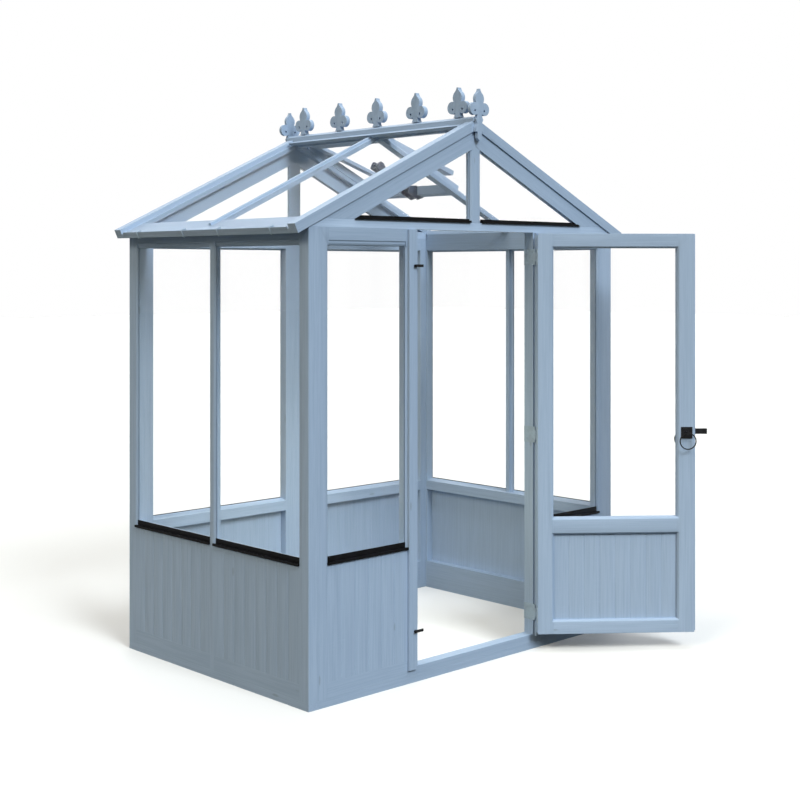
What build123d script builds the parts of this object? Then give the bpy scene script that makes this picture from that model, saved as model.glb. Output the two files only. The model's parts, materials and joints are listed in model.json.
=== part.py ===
"""Small wooden greenhouse with a gable roof, an open roof vent and a half-glazed door.

Frame: millimetres, Z up, +Y runs into the house, +X is to the right seen from the front.
The origin is on the ground, at the middle of the front sill and half way through the wall.
The door is drawn shut and then swung open about its hinge axis, which is its rest pose.
"""
import os
from math import cos, radians, sin, tan

from build123d import *

# Overall size
WIDTH = 1832.0              # over the two side walls
DEPTH = 1228.0              # over the front and back walls
WALL_T = 51.0               # thickness of every wall frame
SOLE_H = 30.0               # sole plate that lies on the ground
WALL_TOP = 1827.0           # top of the wall frames, underside of the gables
PITCH = 25.0                # roof slope in degrees

# Wall frames, shared by all four walls
CHAMFER = 8.0               # chamfer round each window, as deep as its glass lies
REBATE = 12.0               # depth of the seat for glass and boards
LIP_D = 16.0                # depth at which the lip behind the glass ends
GRIP = 7.0                  # how far a pane or panel goes into its groove
INNER_BACK = 10.0           # how far a post's inner part stands back from the window
HEAD_BACK = 8.0             # and that of a head rail
BOARD_TOP = 541.0           # top of the boarded lower wall, where the glass stands
HEAD_FACE = 49.0            # height of the head rail's outer face
HEAD_STEP = 19.0            # height of the bevelled moulding under that face
HEAD_LEDGE = 2.0            # height of the lip below the moulding
MOULD_BEVEL = 4.0           # upper bevel of the moulding
MOULD_FLAT = 7.0            # flat between its two bevels
MID_RAIL = (512.0, 577.0)   # inner mid rail, low and high edge
BOTTOM_RAIL_TOP = 136.0     # inner bottom rail, which stands on the sole plate
BASE_TOP = 93.0             # top of its outer face, where the boards stand
GLASS_T = 4.0
GLASS_FIT = 1.0             # play round each pane
BOARD_PITCH = 70.0          # spacing of the vee joints between boards
VEE = 1.6                   # depth of a vee joint

# Widths of uprights up to the windows; side walls run past the front and back walls
SIDE_STILE = 62.0
SIDE_BACK_STILE = 60.0
SIDE_MULLION = 41.0
MULLION_D = 36.0            # depth of a side wall's mullion
END_STILE = 49.0            # stile of a front or back wall beside a corner
BACK_POST = 152.0           # middle post of the back wall

# Black glazing strip under each pane
STRIP_H = 30.0
STRIP_LIP = 9.0             # height of its wide lower lip
STRIP_OUT = 8.0             # how far the lip stands out of the wall
STRIP_LEG = 3.0             # thickness of its upper leg

# Doorway
DOORWAY_W = 715.0
DOORWAY_SHIFT = 8.0         # the doorway lies this far right of the middle
THRESHOLD_TOP = 64.0
LATH_T = 12.0               # cover lath on each jamb
LATH_W = 43.0
LATH_FOOT = 55.0
LATH_SHORT = 1.0            # how far a lath stops short of the gable
LATH_SETBACK = 8.0          # bare jamb between a lath and the opening
STOP_W = 14.0               # stop that the door shuts against

# Door leaf, drawn shut
LEAF_W = 690.0
LEAF_T = 45.0
LEAF_GAP = 5.0              # running gap round the leaf
LEAF_FOOT = 14.0            # its height above the threshold
LEAF_LIP = (12.0, 15.0)     # lip on the closing edge: width and thickness
LEAF_LATCH_STILE = 75.0
LEAF_HINGE_STILE = 69.0
LEAF_TOP_RAIL = 64.0
LEAF_MID = (510.0, 584.0)
LEAF_BOTTOM_RAIL = 61.0
LEAF_PANEL_T = 12.0
LEAF_PANEL_IN = 16.0        # how far the panel lies behind the inner face
DOOR_OPEN = 140.0           # rest pose: degrees open

# Butt hinges
HINGE_LOW = 83.0            # middle of the lowest hinge above the foot of the leaf
HINGE_HIGH = 102.0          # middle of the highest hinge below the top of the leaf
HINGE_H = 70.0
HINGE_T = 2.0
HINGE_R = 4.5
HINGE_PIN = 2.0
HINGE_PIN_FIT = 0.08
HINGE_BARREL = 40.0
HINGE_PLAY = 0.4            # gap between knuckles, and between barrel and wood
HINGE_DISH = 0.8            # depth of the pressed middle of a hinge plate
HINGE_RIM = 9.0

# Ring latch
LATCH_Z = 951.0
LATCH_EDGE = 34.0           # spindle to the closing edge of the leaf
LATCH_PLATE = 50.0
PLATE_T = 3.0
SPINDLE_R = 6.0
SPINDLE_FIT = 0.06
SPINDLE_BORE = 8.0          # hole through the wood
EYE_R = 8.0
EYE_L = 11.0
EYE_OUT = 24.0              # ring plane in front of each face of the leaf
RING_R = 35.0
RING_WIRE = 2.5
RING_FIT = 0.3
BAR_H = 24.0
BAR_T = 6.0
BAR_REACH = 105.0           # spindle to the tip of the bar
BAR_TAIL = 16.0
BAR_CLEAR = 5.0             # bar to the face of the leaf and of the lath

# Turn buttons on the latch-side lath
BUTTON_LOW = 146.0          # lower button above the threshold
BUTTON_HIGH = 147.0         # upper button below the top of the wall
BUTTON_H = 11.0
BUTTON_T = 5.0
BUTTON_REACH = 39.0         # pivot to the far end
BUTTON_TAIL = 7.0
BUTTON_INSET = 12.5         # pivot to the edge of the lath
BUTTON_CLEAR = 5.0
SCREW_R = 2.0
SCREW_HEAD = (4.4, 2.0)     # radius and height
SCREW_FIT = 0.06

# Gables
TIE_FACE = 34.0             # height of the gable tie's outer face
TIE_BAND = 10.0             # lip of the tie behind the panes
RAFTER_FACE = 67.0          # depth of a gable rafter, square to the slope
GABLE_D = 25.0              # thickness of the rafters and king posts
KING_W = 69.0
KING_CHAMFER = 11.0
GABLE_STRIP_H = 16.0
MITRE_GAP = 0.3

# Roof
VERGE_D = 40.0              # depth of an end rafter, square to the slope
VERGE_W = 58.0              # its width along the house
EAVES_OUT = 62.0            # overhang along the slope
EAVES_BOARD_T = 20.0
EAVES_LIP = (5.0, 7.0)      # lip along its edge that stops the panes: width and height
EAVES_BOARD_IN = 55.0       # how far up the slope the eaves board reaches
BAR_W = 41.0
BAR_SEAT = 20.0             # height of the glass above the roof plane
BAR_FIN_W = 15.0
BAR_TOP = 30.0              # top of the bar's fin above the roof plane
ROOF_REBATE = 12.0          # ledge that the glass has on an end rafter
ROOF_GLASS_SHORT = 6.0      # how far the glass stops short of the eaves
RIDGE_T = 22.0
CAP_BLOCK_W = 48.0          # raised middle of the ridge cap
CAP_RISE = 13.7             # its top above the meeting of the end rafters
CAP_FLANGE_X = 62.0         # half width over the flanges, which lie between the end rafters
CAP_FLANGE_T = 10.0

# Roof vent in the back bay of the right slope, fixed as it stands open
VENT_REACH = 476.0          # length of the open leaf from its hinge, along the leaf
VENT_RAISE = 7.2            # degrees open
VENT_HINGE_GAP = 3.0        # leaf to the ridge cap
VENT_FLOOR = 36.0           # underside of the shut leaf above the roof plane
VENT_T = 22.0
VENT_STILE = 42.0
VENT_LEDGE = 14.0
VENT_REBATE = 8.0           # depth of the rebate for the leaf's pane
KERB_T = 15.0               # boards that stand on the bar and the end rafter
KERB_TOP = 57.0             # their top above the roof plane
KERB_LENGTH = 510.0
KERB_GAP = 3.0              # play of the leaf between the kerbs
SILL_T = 24.0
SILL_DEPTH = (12.0, 50.0)   # lower and upper edge above the roof plane
SILL_GAP = 6.0              # shut leaf to the sill

# Vent opener
OPENER_R = 13.0
OPENER_RUN = 248.4          # upper end of the cylinder, level from the sill
OPENER_DEPTH = 23.8         # and above the roof plane
BRACKET_T = 16.0
BRACKET_W = 36.0
ARM_T = 5.0
ARM_W = 14.0

# Finials: a leaf over two round lobes, on a flared stem
FINIAL_T = 22.0
FINIAL_INSET = 100.0        # end crest finials to the faces of the front and back walls
FINIAL_COUNT = 5
END_FINIAL_T = 15.0
FINIAL_H = 129.0
FINIAL_BASE = 22.0          # half width of the stem's foot
FINIAL_STEM = 14.0          # half width of its waist
FINIAL_FLARE = (16.0, 10.0)     # middle of the foot's curve: half width and height
FINIAL_WAIST = 22.0         # height at which that curve ends
LOBE_R = 27.0
LOBE_X = 31.0
LOBE_Z = 43.5
LEAF_NECK = (23.0, 72.0)
LEAF_BELLY = (26.0, 90.0)
LEAF_SHOULDER = (16.0, 109.0)
LEAF_HOLLOW = (7.5, 118.0)      # middle of the hollow curve under the tip
LEAF_TIP = 3.5
FINIAL_HOLE_R = 5.0
FINIAL_HOLE = (28.0, 36.0)
END_FINIAL_RISE = 113.0     # top of an end finial above the ridge cap
SHOULDER_W = 24.0           # half width of the shoulders below its stem
SHOULDER_DROP = (50.0, 68.0)    # their upper and lower edge below the top of the cap
DROP_REACH = 107.0          # tip of its drop below the top of the cap
DROP_W = 13.0               # half width of the drop
DROP_POINT = 12.0           # height of the drop's point

half_w = WIDTH / 2
y_front = -WALL_T / 2
y_back = y_front + DEPTH
y_mid = (y_front + y_back) / 2
slope_tan = tan(radians(PITCH))
slope_cos = cos(radians(PITCH))
slope_sin = sin(radians(PITCH))
face_top = WALL_TOP - HEAD_FACE
clear_top = face_top - HEAD_STEP - HEAD_LEDGE
tie_top = WALL_TOP + TIE_FACE
jamb_stile = LATH_SETBACK + LATH_W + CHAMFER
jamb_left = DOORWAY_SHIFT - DOORWAY_W / 2
jamb_right = DOORWAY_SHIFT + DOORWAY_W / 2
lath_y = y_front - LATH_T
leaf_x1 = jamb_right - LEAF_GAP
leaf_x0 = leaf_x1 - LEAF_W
leaf_z0 = THRESHOLD_TOP + LEAF_FOOT
leaf_z1 = WALL_TOP - LEAF_GAP
leaf_y0 = lath_y
leaf_y1 = leaf_y0 + LEAF_T
hinge_x = jamb_right - LEAF_GAP / 2
hinge_y = lath_y - HINGE_R - HINGE_PLAY
hinge_low, hinge_high = leaf_z0 + HINGE_LOW, leaf_z1 - HINGE_HIGH
hinge_heights = (hinge_low, (hinge_low + hinge_high) / 2, hinge_high)
sill_x = CAP_FLANGE_X + VENT_HINGE_GAP + VENT_REACH * slope_cos + SILL_GAP

nodes = {}


def slope_z(x, depth=0.0):
    """Height of the roof plane over x; depth is measured square to the slope."""
    return WALL_TOP + (half_w - abs(x)) * slope_tan + depth / slope_cos


cap_top = slope_z(0, VERGE_D) + CAP_RISE
vent_hinge = (CAP_FLANGE_X + VENT_HINGE_GAP, slope_z(CAP_FLANGE_X + VENT_HINGE_GAP, VENT_FLOOR))


def add(name, *shapes):
    """Collect solids under a node's name."""
    nodes.setdefault(name, []).extend(shapes)


def block(x0, x1, y0, y1, z0, z1):
    """Box between two corners."""
    return Pos(x0, y0, z0) * Box(x1 - x0, y1 - y0, z1 - z0, align=(Align.MIN,) * 3)


def slab_xz(points, y0, y1):
    """Outline of (x, z) points, thick from y0 to y1."""
    outline = make_face(Polyline([(x, y0, z) for x, z in points], close=True))
    return extrude(outline, amount=y1 - y0, dir=(0, 1, 0))


def slab_xy(points, z0, z1):
    """Outline of (x, y) points, upright from z0 to z1."""
    outline = make_face(Polyline([(x, y, z0) for x, y in points], close=True))
    return extrude(outline, amount=z1 - z0, dir=(0, 0, 1))


def slab_yz(points, x0, x1):
    """Outline of (y, z) points, thick from x0 to x1."""
    outline = make_face(Polyline([(x0, y, z) for y, z in points], close=True))
    return extrude(outline, amount=x1 - x0, dir=(1, 0, 0))


def rod_y(x, z, radius, y0, y1):
    """Round rod along Y."""
    return Pos(x, (y0 + y1) / 2, z) * Rot(90, 0, 0) * Cylinder(radius, abs(y1 - y0))


def rod_z(x, y, radius, z0, z1):
    """Upright round rod."""
    return Pos(x, y, (z0 + z1) / 2) * Cylinder(radius, z1 - z0)


def across(shape):
    """The same piece on the other side of the house."""
    return mirror(shape, about=Plane.YZ)


def behind(shape):
    """The same piece at the other end of the house."""
    return mirror(shape, about=Plane(origin=(0, y_mid, 0), z_dir=(0, 1, 0)))


def swung(shape):
    """A door piece drawn shut, turned to the door's rest pose."""
    return shape.rotate(Axis((hinge_x, hinge_y, 0), (0, 0, 1)), DOOR_OPEN)


def slope_point(along, depth):
    """(x, z) on the left slope: along from the wall's outer face, depth square to it."""
    x = -half_w + along * slope_cos - depth * slope_sin
    return x, WALL_TOP + along * slope_sin + depth * slope_cos


# Wall frames, drawn with the outer face on y = 0 and x running along the wall

def upright(x0, x1, windows, backs, depth=WALL_T):
    """Post from x0 to x1. Windows says which sides have one: chamfer and groove above, and a
    seat for boards below. Backs is how far its inner part stands back on each side."""
    post = block(x0, x1, 0, LIP_D, SOLE_H, WALL_TOP)
    head = face_top - HEAD_STEP
    for x, inward, has_window in ((x0, 1, windows[0]), (x1, -1, windows[1])):
        if has_window:
            edge = x + inward * CHAMFER
            post -= slab_xy([(x, 0), (edge, 0), (x, CHAMFER)], BOARD_TOP, head)
            post -= slab_xy([(x, CHAMFER), (x + inward * GRIP, CHAMFER),
                             (x + inward * GRIP, REBATE), (x, REBATE)], BOARD_TOP, head + GRIP)
            post -= slab_xy([(x, 0), (edge, 0), (edge, REBATE), (x, REBATE)], SOLE_H, BOARD_TOP)
    return post + block(x0 + backs[0], x1 - backs[1], LIP_D, depth, SOLE_H, WALL_TOP)


def head_rail(length, bevel_from, bevel_to):
    """Head rail of a wall, with a moulding down to the windows and a groove for the glass.
    A side wall's rail is bevelled to the roof slope between two places."""
    z, half = face_top, CHAMFER / 2
    low = z - HEAD_STEP
    outline = [(0, WALL_TOP), (0, z), (half, z - MOULD_BEVEL),
               (half, z - MOULD_BEVEL - MOULD_FLAT), (CHAMFER, low), (CHAMFER, low + GRIP),
               (REBATE, low + GRIP), (REBATE, clear_top), (LIP_D, clear_top),
               (LIP_D, clear_top + HEAD_BACK), (WALL_T, clear_top + HEAD_BACK),
               (WALL_T, WALL_TOP)]
    rail = slab_yz(outline, 0, length)
    if bevel_to > bevel_from:
        rail += slab_yz([(0, WALL_TOP), (WALL_T, WALL_TOP),
                         (WALL_T, WALL_TOP + WALL_T * slope_tan)], bevel_from, bevel_to)
    return rail


def boards(x0, x1):
    """Vertical boards with vee joints between them."""
    panel = block(x0, x1, 0, REBATE, BASE_TOP, BOARD_TOP)
    count = max(1, round((x1 - x0) / BOARD_PITCH))
    for i in range(1, count):
        x = x0 + (x1 - x0) * i / count
        panel -= slab_xy([(x - VEE, 0), (x, VEE), (x + VEE, 0)], BASE_TOP, BOARD_TOP)
    return panel


def glazing_strip(x0, x1, z0, height, ends=0.0):
    """Black strip: a thin leg up the face of the pane, and a wide lip in front of the wall."""
    inner = REBATE - GLASS_T
    outline = [(0, z0), (inner, z0), (inner, z0 + height), (inner - STRIP_LEG, z0 + height),
               (inner - STRIP_LEG, z0 + STRIP_LIP), (0, z0 + STRIP_LIP)]
    return slab_yz(outline, x0, x1) + block(x0 - ends, x1 + ends, -STRIP_OUT, 0,
                                            z0, z0 + STRIP_LIP)


def wall(length, start, end, mullion=0.0, is_side=False):
    """Framed wall: posts, rails, boards below and panes above. A mullion makes two bays."""
    low, high = start, length - end
    inner = 0 if is_side else INNER_BACK
    posts = [upright(0, low, (False, True), (0, inner)),
             upright(high, length, (True, False), (inner, 0))]
    head = head_rail(length, *((low, high) if is_side else (0, 0)))
    windows = [(low, high)]
    if mullion:
        x0, x1 = (low + high - mullion) / 2, (low + high + mullion) / 2
        back = INNER_BACK if is_side else 0
        posts.append(upright(x0, x1, (True, True), (back, back),
                             MULLION_D if is_side else WALL_T) - head)
        windows = [(low, x0), (x1, high)]
    rails = [head, block(0, length, REBATE, WALL_T, *MID_RAIL),
             block(0, length, REBATE, WALL_T, SOLE_H, BOTTOM_RAIL_TOP)
             + block(0, length, 0, REBATE, SOLE_H, BASE_TOP)]
    pieces = {"posts": posts, "rails": [], "boards": [], "glass": [], "strips": []}
    for rail in rails:
        for post in posts:
            rail -= post
        pieces["rails"] += rail.solids()
    side = GRIP - GLASS_FIT
    for left, right in windows:
        pieces["boards"].append(boards(left - CHAMFER, right + CHAMFER))
        pieces["glass"].append(block(left - side, right + side, REBATE - GLASS_T, REBATE,
                                     BOARD_TOP, face_top - HEAD_STEP + side))
        pieces["strips"].append(glazing_strip(left, right, BOARD_TOP, STRIP_H, CHAMFER))
    return pieces


def place(pieces, location):
    """Move a wall's pieces to their place in the house."""
    return {kind: [location * piece for piece in group] for kind, group in pieces.items()}


def make_walls():
    """Four framed walls on the sole plates."""
    side = wall(DEPTH, SIDE_BACK_STILE, SIDE_STILE, SIDE_MULLION, is_side=True)
    left = place(side, Location((-half_w, y_back, 0), (0, 0, -90)))
    for kind, group in left.items():
        add("side_" + kind, *group, *[across(piece) for piece in group])

    inner_w = WIDTH - 2 * WALL_T
    back = place(wall(inner_w, END_STILE, END_STILE, BACK_POST),
                 Location((inner_w / 2, y_back, 0), (0, 0, 180)))
    for kind, group in back.items():
        add("back_" + kind, *group)

    wall_x = inner_w / 2
    for x0, x1, start, end in ((-wall_x, jamb_left, END_STILE, jamb_stile),
                               (jamb_right, wall_x, jamb_stile, END_STILE)):
        panel = place(wall(x1 - x0, start, end), Location((x0, y_front, 0)))
        for kind, group in panel.items():
            add("front_" + kind, *group)


def make_sole():
    """Sole plates on the ground, and the threshold in the doorway."""
    side = block(-half_w, -half_w + WALL_T, y_front, y_back, 0, SOLE_H)
    add("side_soles", side, across(side))
    wall_x = half_w - WALL_T
    add("front_sole", block(-wall_x, wall_x, y_front, y_front + WALL_T, 0, SOLE_H))
    add("back_sole", block(-wall_x, wall_x, y_back - WALL_T, y_back, 0, SOLE_H))
    add("threshold", block(jamb_left, jamb_right, y_front, y_front + WALL_T,
                           SOLE_H, THRESHOLD_TOP))


def make_door_trim():
    """Cover laths on the jambs, and the stop on the latch side."""
    for edge, outward in ((jamb_left, -1), (jamb_right, 1)):
        x0, x1 = sorted((edge + outward * LATH_SETBACK,
                         edge + outward * (LATH_SETBACK + LATH_W)))
        add("door_laths", block(x0, x1, lath_y, y_front, LATH_FOOT,
                                WALL_TOP - LATH_SHORT))
    stop_y = leaf_y0 + LEAF_LIP[1] + LEAF_GAP
    add("door_stop", block(jamb_left, jamb_left + STOP_W, stop_y, y_front + WALL_T,
                           THRESHOLD_TOP, WALL_TOP))


def make_gables():
    """Tie, rafters, king post and panes of each gable."""
    y0, y_seat, y1 = y_front, y_front + REBATE, y_front + GABLE_D
    y_glass = y_seat - GLASS_T
    tie_x = half_w - TIE_FACE / slope_tan
    foot_x = half_w - (TIE_FACE + RAFTER_FACE / slope_cos) / slope_tan
    lip_x = half_w - (TIE_FACE + TIE_BAND + RAFTER_FACE / slope_cos) / slope_tan
    king_x, face_x = KING_W / 2, KING_W / 2 - KING_CHAMFER

    tie = slab_xz([(-half_w, WALL_TOP), (half_w, WALL_TOP), (tie_x, tie_top), (-tie_x, tie_top)],
                  y0, y_front + WALL_T)
    for side in (-1, 1):
        tie += slab_xz([(side * foot_x, tie_top), (side * king_x, tie_top),
                        (side * king_x, tie_top + TIE_BAND), (side * lip_x, tie_top + TIE_BAND)],
                       y_seat, y1)
    rafter = slab_xz([(-tie_x, tie_top), (-foot_x, tie_top),
                      (-MITRE_GAP, slope_z(MITRE_GAP, -RAFTER_FACE)),
                      (-MITRE_GAP, slope_z(MITRE_GAP))], y0, y1)
    post = slab_xz([(-king_x, tie_top), (king_x, tie_top),
                    (king_x, slope_z(king_x, -RAFTER_FACE)), (0, slope_z(0, -RAFTER_FACE)),
                    (-king_x, slope_z(king_x, -RAFTER_FACE))], y0, y1)
    for side in (-1, 1):
        post -= slab_xy([(side * king_x, y0), (side * face_x, y0),
                         (side * king_x, y0 + KING_CHAMFER)], tie_top, slope_z(0))

    def pane(grip, z0):
        """Outline of a pane that goes into its grooves by grip, with its foot at z0."""
        x = king_x - grip
        toe = half_w - (z0 - WALL_TOP + (RAFTER_FACE - grip) / slope_cos) / slope_tan
        return [(-toe, z0), (-x, z0), (-x, slope_z(x, grip - RAFTER_FACE))]

    slot = slab_xz(pane(GRIP, tie_top), y_glass, y_seat)
    rafter -= slot
    post = post - slot - across(slot)
    glass = slab_xz(pane(GRIP - GLASS_FIT, tie_top), y_glass, y_seat)
    strip = Pos(0, y_front, 0) * glazing_strip(-foot_x, -king_x, tie_top, GABLE_STRIP_H)
    strip &= slab_xz([(-foot_x, tie_top), (0, tie_top), (0, slope_z(GLASS_FIT, -RAFTER_FACE))],
                     y0 - STRIP_OUT, y_seat)
    for name, pieces in (("gable_ties", [tie]), ("gable_rafters", [rafter, across(rafter)]),
                         ("king_posts", [post]), ("gable_glass", [glass, across(glass)]),
                         ("gable_glazing_strips", [strip, across(strip)])):
        add(name, *pieces, *[behind(piece) for piece in pieces])


def slope_bar(along0, x_top, depth0, depth1, y0, y1):
    """Bar on the left slope, square at its foot and upright against the ridge."""
    return slab_xz([slope_point(along0, depth0), slope_point(along0, depth1),
                    (-x_top, slope_z(x_top, depth1)), (-x_top, slope_z(x_top, depth0))], y0, y1)


def make_roof():
    """End rafters, glazing bars, eaves boards, ridge board and panes."""
    ridge_x = RIDGE_T / 2
    y_out = y_front + WALL_T - VERGE_W
    y_in = y_front + WALL_T
    y_seat = y_in - ROOF_REBATE
    verge = slope_bar(-EAVES_OUT, ridge_x, 0, VERGE_D, y_out, y_seat)
    verge += slope_bar(-EAVES_OUT, ridge_x, 0, BAR_SEAT, y_seat, y_in)
    for piece in (verge, across(verge)):
        add("verge_rafters", piece, behind(piece))

    y_bar = y_mid - BAR_W / 2
    bar = slope_bar(0, ridge_x, 0, BAR_SEAT, y_bar, y_bar + BAR_W)
    bar += slope_bar(0, ridge_x, BAR_SEAT, BAR_TOP, y_mid - BAR_FIN_W / 2, y_mid + BAR_FIN_W / 2)
    add("roof_bars", bar, across(bar))

    foot, head = -EAVES_OUT, EAVES_BOARD_IN
    lip_w, lip_h = EAVES_LIP
    outline = [slope_point(foot, 0), slope_point(foot, EAVES_BOARD_T + lip_h),
               slope_point(foot + lip_w, EAVES_BOARD_T + lip_h),
               slope_point(foot + lip_w, EAVES_BOARD_T), slope_point(head, EAVES_BOARD_T),
               slope_point(head, 0)]
    eaves = slab_xz(outline, y_in, 2 * y_mid - y_in)
    eaves -= slope_bar(0, ridge_x, 0, BAR_SEAT, y_bar, y_bar + BAR_W)
    add("eaves_boards", eaves, across(eaves))
    add("ridge_board", block(-ridge_x, ridge_x, y_out, 2 * y_mid - y_out, slope_z(0),
                             slope_z(ridge_x, VERGE_D)))

    pane_ends = (y_seat + GLASS_FIT, y_mid - BAR_FIN_W / 2 - GLASS_FIT)
    pane = slope_bar(-EAVES_OUT + ROOF_GLASS_SHORT, ridge_x + GLASS_FIT, BAR_SEAT,
                     BAR_SEAT + GLASS_T, *pane_ends)
    short = slope_bar(-EAVES_OUT + ROOF_GLASS_SHORT, sill_x + SILL_T, BAR_SEAT,
                      BAR_SEAT + GLASS_T, *pane_ends)
    add("roof_glass", pane, behind(pane), across(pane), across(behind(short)))


def make_ridge_cap():
    """Ridge cap: a raised middle over the end rafters, and flanges between them."""
    y_out, y_in = y_front + WALL_T - VERGE_W, y_front + WALL_T
    block_x = CAP_BLOCK_W / 2
    outline = [(0, cap_top), (block_x, cap_top - block_x * slope_tan),
               (block_x, slope_z(block_x, VERGE_D)), (0, slope_z(0, VERGE_D))]
    outline += [(-x, z) for x, z in outline[-2:0:-1]]
    cap = slab_xz(outline, y_out, 2 * y_mid - y_out)
    top, under = VERGE_D, VERGE_D - CAP_FLANGE_T
    flange = slab_xz([(RIDGE_T / 2, slope_z(RIDGE_T / 2, top)),
                      (CAP_FLANGE_X, slope_z(CAP_FLANGE_X, top)),
                      (CAP_FLANGE_X, slope_z(CAP_FLANGE_X, under)),
                      (RIDGE_T / 2, slope_z(RIDGE_T / 2, under))], y_in, 2 * y_mid - y_in)
    add("ridge_cap", cap + flange + across(flange))


def make_vent():
    """Kerbs and sill of the roof vent, and its leaf fixed as it stands open."""
    y_near = y_mid + BAR_FIN_W / 2
    y_far = y_back - WALL_T + ROOF_REBATE
    foot_x = CAP_FLANGE_X + KERB_LENGTH * slope_cos
    near = slope_kerb(foot_x, BAR_SEAT, y_near, y_near + KERB_T)
    far = slope_kerb(foot_x, BAR_SEAT, y_far - KERB_T, y_far)
    add("vent_kerbs", across(near), across(far))

    low, high = SILL_DEPTH
    sill = slab_xz([(sill_x, slope_z(sill_x, low)), (sill_x, slope_z(sill_x, high)),
                    (sill_x + SILL_T, slope_z(sill_x + SILL_T, high)),
                    (sill_x + SILL_T, slope_z(sill_x + SILL_T, low))],
                   y_mid + BAR_W / 2, y_back - WALL_T)
    add("vent_sill", sill - across(near) - across(far))

    y0, y1 = y_near + KERB_T + KERB_GAP, y_far - KERB_T - KERB_GAP
    turn = Location((vent_hinge[0], 0, vent_hinge[1]), (0, PITCH - VENT_RAISE, 0))
    leaf = block(0, VENT_REACH, y0, y1, 0, VENT_T)
    leaf -= block(VENT_STILE, VENT_REACH - VENT_STILE, y0 + VENT_STILE, y1 - VENT_STILE, 0, VENT_T)
    edge = VENT_STILE - VENT_LEDGE
    leaf -= block(edge, VENT_REACH - edge, y0 + edge, y1 - edge, VENT_T - VENT_REBATE, VENT_T)
    add("vent_leaf", turn * leaf)
    add("vent_glass", turn * block(edge + GLASS_FIT, VENT_REACH - edge - GLASS_FIT,
                                   y0 + edge + GLASS_FIT, y1 - edge - GLASS_FIT,
                                   VENT_T - VENT_REBATE, VENT_T - VENT_REBATE + GLASS_T))


def slope_kerb(foot_x, depth, y0, y1):
    """Board on edge along the left slope, from the ridge cap down to foot_x."""
    top_x = CAP_FLANGE_X + GLASS_FIT
    rise = KERB_TOP - depth
    foot_z = slope_z(foot_x, depth)
    return slab_xz([(-foot_x, foot_z), (-foot_x - rise * slope_sin, foot_z + rise * slope_cos),
                    (-top_x, slope_z(top_x, KERB_TOP)), (-top_x, slope_z(top_x, depth))], y0, y1)


def finial_head():
    """Face of a finial: leaf over two lobes on a flared stem, with two drilled holes."""
    neck_x, neck_z = LEAF_NECK
    belly_x, belly_z = LEAF_BELLY
    shoulder_x, shoulder_z = LEAF_SHOULDER
    flare_x, flare_z = FINIAL_FLARE
    hollow_x, hollow_z = LEAF_HOLLOW
    with BuildSketch(Plane.XZ) as face:
        with BuildLine():
            Polyline((FINIAL_BASE, 0), (0, 0), (-FINIAL_BASE, 0))
            for side in (1, -1):
                ThreePointArc((side * FINIAL_BASE, 0), (side * flare_x, flare_z),
                              (side * FINIAL_STEM, FINIAL_WAIST))
                Line((side * FINIAL_STEM, FINIAL_WAIST), (side * neck_x, neck_z))
                ThreePointArc((side * neck_x, neck_z), (side * belly_x, belly_z),
                              (side * shoulder_x, shoulder_z))
                ThreePointArc((side * shoulder_x, shoulder_z), (side * hollow_x, hollow_z),
                              (side * LEAF_TIP, FINIAL_H))
            Line((LEAF_TIP, FINIAL_H), (-LEAF_TIP, FINIAL_H))
        make_face()
        with Locations((LOBE_X, LOBE_Z), (-LOBE_X, LOBE_Z)):
            Circle(LOBE_R)
        hole_x, hole_z = FINIAL_HOLE
        with Locations((hole_x, hole_z), (-hole_x, hole_z)):
            Circle(FINIAL_HOLE_R, mode=Mode.SUBTRACT)
    return face.sketch


def make_finials():
    """Crest finials along the ridge, and one at each end with a drop below it."""
    crest = extrude(finial_head(), amount=FINIAL_T / 2, both=True)
    pitch = (DEPTH - 2 * FINIAL_INSET) / (FINIAL_COUNT - 1)
    for i in range(FINIAL_COUNT):
        y = y_front + FINIAL_INSET + i * pitch
        add("crest_finials", Location((0, y, cap_top), (0, 0, 90)) * crest)

    base_z = cap_top + END_FINIAL_RISE - FINIAL_H
    tip_z = cap_top - DROP_REACH
    point_z = tip_z + DROP_POINT
    y1 = y_front + WALL_T - VERGE_W
    head = extrude(finial_head(), amount=END_FINIAL_T)
    head = Pos(0, y1, base_z) * head
    high, low = (cap_top - drop for drop in SHOULDER_DROP)
    half = [(FINIAL_BASE, base_z), (FINIAL_STEM, (base_z + high) / 2), (SHOULDER_W, high),
            (SHOULDER_W, low), (DROP_W, low), (DROP_W, point_z), (0, tip_z)]
    stem = slab_xz(half + [(-x, z) for x, z in half[-2::-1]], y1 - END_FINIAL_T, y1)
    end = head + stem
    add("end_finials", end, behind(end))


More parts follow.
